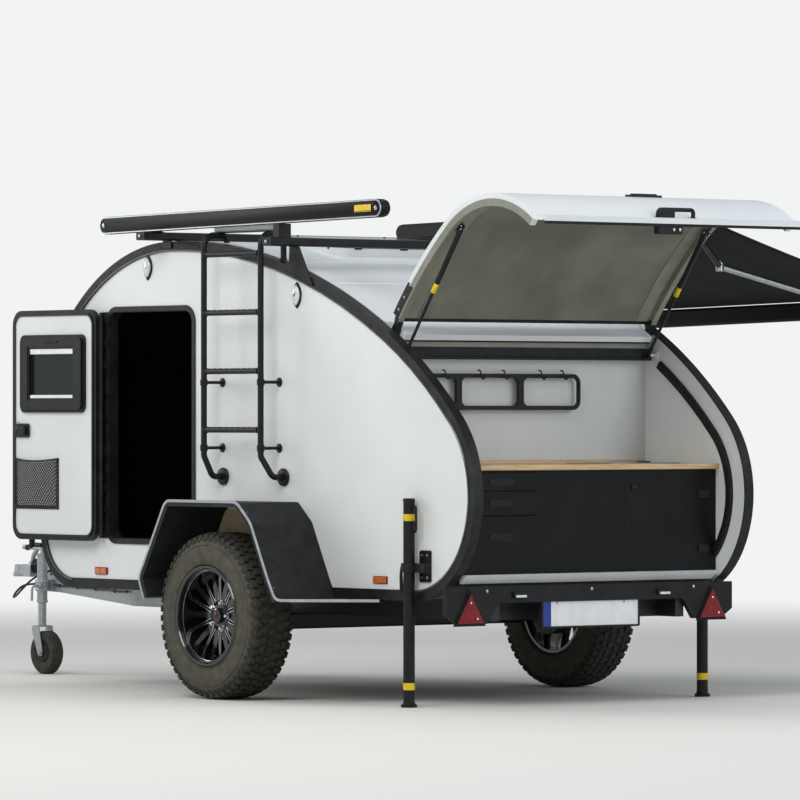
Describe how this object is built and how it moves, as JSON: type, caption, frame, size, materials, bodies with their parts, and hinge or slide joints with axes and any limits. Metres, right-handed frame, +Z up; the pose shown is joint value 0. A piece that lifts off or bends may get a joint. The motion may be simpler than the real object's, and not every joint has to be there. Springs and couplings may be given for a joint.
{
  "type": "teardrop trailer",
  "caption": "Teardrop camping trailer with side doors, lifting rear tailgate over a galley, ladder, roof bars, side awning, jockey wheel and drop legs",
  "frame": {"origin": "under the middle of the trailer's box, on the ground", "axes": "+X to the rear, +Y to the right side when facing forward, +Z up"},
  "size_m": [4.7848, 3.178, 2.1086],
  "materials": {
    "white_panel": "satin coated sheet",
    "black_trim": "matt black extrusion",
    "galvanised": "hot-dip galvanised",
    "black_steel": "black powder coat",
    "tyre_rubber": "matt rubber",
    "rim_black": "gloss black paint",
    "soft_plastic": "black rubber",
    "textured_black": "textured black coating",
    "floor_board": "sealed plywood",
    "countertop_wood": "oiled light wood",
    "cabinet_black": "matt black board",
    "pale_board": "pale board",
    "lining_grey": "grey sheet",
    "aluminium": "anodised",
    "valance_black": "moulded plastic",
    "mattress_fabric": "woven cover",
    "canopy_fabric": "coated awning cloth",
    "window_acrylic": "tinted acrylic",
    "lid_acrylic": "green-tinted acrylic",
    "mesh_fabric": "black mesh",
    "case_black": "satin black",
    "cable_black": "black cable sheath",
    "jockey_rubber": "solid rubber tyre"
  },
  "bodies": {
    "trailer": {"chassis": "galvanised", "axle_beam": "galvanised", "mudguard_left": "textured_black", "mudguard_right": "textured_black", "floor_panel": "floor_board", "side_wall_left": "white_panel", "side_wall_right": "white_panel", "edge_trim_left": "black_trim", "edge_trim_right": "black_trim", "roof_skin": "white_panel", "door_frame_left": "black_trim", "door_frame_right": "black_trim", "bulkhead": "pale_board", "galley_rails": "black_steel", "galley_cabinet": "cabinet_black", "countertop": "countertop_wood", "sill": "aluminium", "rear_valance": "valance_black", "mattress": "mattress_fabric", "roof_window_frame": "white_panel", "hinge_rail": "aluminium", "leg_clamp_left": "black_steel", "leg_clamp_right": "black_steel", "ladder": "black_steel", "roof_bar_front": "black_steel", "roof_bar_rear": "black_steel", "awning_case_left": "case_black", "awning_case_right": "case_black", "awning_frame": "case_black", "awning_canopy": "canopy_fabric", "coupling": "galvanised", "coupling_gaiter": "soft_plastic", "jockey_tube": "galvanised", "lead": "cable_black", "lead_plug": "soft_plastic"},
    "wheel_left": {"tyre_left": "tyre_rubber", "rim_left": "rim_black"},
    "wheel_right": {"tyre_right": "tyre_rubber", "rim_right": "rim_black"},
    "door_left": {"door_left": "white_panel", "door_window_left": "window_acrylic", "door_pocket": "mesh_fabric"},
    "door_right": {"door_right": "white_panel", "door_window_right": "window_acrylic"},
    "tailgate": {"tailgate": "white_panel", "tailgate_lining": "lining_grey"},
    "strut_case_left": {"strut_case_left": "black_steel"},
    "strut_case_right": {"strut_case_right": "black_steel"},
    "strut_rod_left": {"strut_rod_left": "galvanised"},
    "strut_rod_right": {"strut_rod_right": "galvanised"},
    "leg_left": {"leg_left": "black_steel"},
    "leg_right": {"leg_right": "black_steel"},
    "jockey_stem": {"jockey_stem": "galvanised"},
    "jockey_fork": {"jockey_fork": "galvanised"},
    "jockey_wheel": {"jockey_wheel": "jockey_rubber"},
    "roof_window_lid": {"roof_window_lid": "lid_acrylic"},
    "drawer_top": {"drawer_top": "cabinet_black"},
    "drawer_middle": {"drawer_middle": "cabinet_black"},
    "drawer_low": {"drawer_low": "cabinet_black"}
  },
  "joints": [
    {"name": "wheel_left_spin", "type": "hinge", "parent": "trailer", "child": "wheel_left", "pos_m": [0.54962, -1.464, 0.354], "axis": [0, 1, 0], "continuous": true},
    {"name": "wheel_right_spin", "type": "hinge", "parent": "trailer", "child": "wheel_right", "pos_m": [0.54962, 0.436, 0.354], "axis": [0, 1, 0], "continuous": true},
    {"name": "door_left_hinge", "type": "hinge", "parent": "trailer", "child": "door_left", "pos_m": [-0.59838, -1.295, 1.15], "axis": [0, 0, 1], "range_deg": [0, 180]},
    {"name": "door_right_hinge", "type": "hinge", "parent": "trailer", "child": "door_right", "pos_m": [-0.59838, 0.267, 1.15], "axis": [0, 0, 1], "range_deg": [0, 180]},
    {"name": "tailgate_hinge", "type": "hinge", "parent": "trailer", "child": "tailgate", "pos_m": [1.37378, -0.514, 1.52525], "axis": [0, 1, 0], "range_deg": [0, 86]},
    {"name": "roof_window_hinge", "type": "hinge", "parent": "trailer", "child": "roof_window_lid", "pos_m": [0.06167, -0.514, 1.96768], "axis": [0, -1, 0], "range_deg": [0, 50]},
    {"name": "leg_left_slide", "type": "slide", "parent": "trailer", "child": "leg_left", "axis": [0, 0, 1], "range_m": [0, 0.25]},
    {"name": "leg_right_slide", "type": "slide", "parent": "trailer", "child": "leg_right", "axis": [0, 0, 1], "range_m": [0, 0.25]},
    {"name": "jockey_slide", "type": "slide", "parent": "trailer", "child": "jockey_stem", "axis": [0, 0, 1], "range_m": [0, 0.1]},
    {"name": "jockey_swivel", "type": "hinge", "parent": "jockey_stem", "child": "jockey_fork", "pos_m": [-1.97038, -0.664, 0.23], "axis": [0, 0, 1], "continuous": true},
    {"name": "jockey_spin", "type": "hinge", "parent": "jockey_fork", "child": "jockey_wheel", "pos_m": [-1.93238, -0.664, 0.1], "axis": [0, 1, 0], "continuous": true},
    {"name": "strut_left_turn", "type": "hinge", "parent": "tailgate", "child": "strut_case_left", "pos_m": [1.79962, -1.174, 1.977], "axis": [0, 1, 0], "range_deg": [-1, 7]},
    {"name": "strut_left_slide", "type": "slide", "parent": "strut_case_left", "child": "strut_rod_left", "axis": [0.5871, 0, 0.8095], "range_m": [-0.002, 0.096]},
    {"name": "strut_right_turn", "type": "hinge", "parent": "tailgate", "child": "strut_case_right", "pos_m": [1.79962, 0.146, 1.977], "axis": [0, 1, 0], "range_deg": [-1, 7]},
    {"name": "strut_right_slide", "type": "slide", "parent": "strut_case_right", "child": "strut_rod_right", "axis": [0.5871, 0, 0.8095], "range_m": [-0.002, 0.096]},
    {"name": "drawer_top_slide", "type": "slide", "parent": "trailer", "child": "drawer_top", "axis": [-1, 0, 0], "range_m": [-0.34, 0]},
    {"name": "drawer_middle_slide", "type": "slide", "parent": "trailer", "child": "drawer_middle", "axis": [-1, 0, 0], "range_m": [-0.34, 0]},
    {"name": "drawer_low_slide", "type": "slide", "parent": "trailer", "child": "drawer_low", "axis": [-1, 0, 0], "range_m": [-0.34, 0]}
  ],
  "couplings": [
    {"joint": "strut_left_turn", "follows": "tailgate_hinge", "ratio": 0.067094},
    {"joint": "strut_left_slide", "follows": "tailgate_hinge", "m_per_rad": 0.062687},
    {"joint": "strut_right_turn", "follows": "tailgate_hinge", "ratio": 0.067094},
    {"joint": "strut_right_slide", "follows": "tailgate_hinge", "m_per_rad": 0.062687}
  ]
}
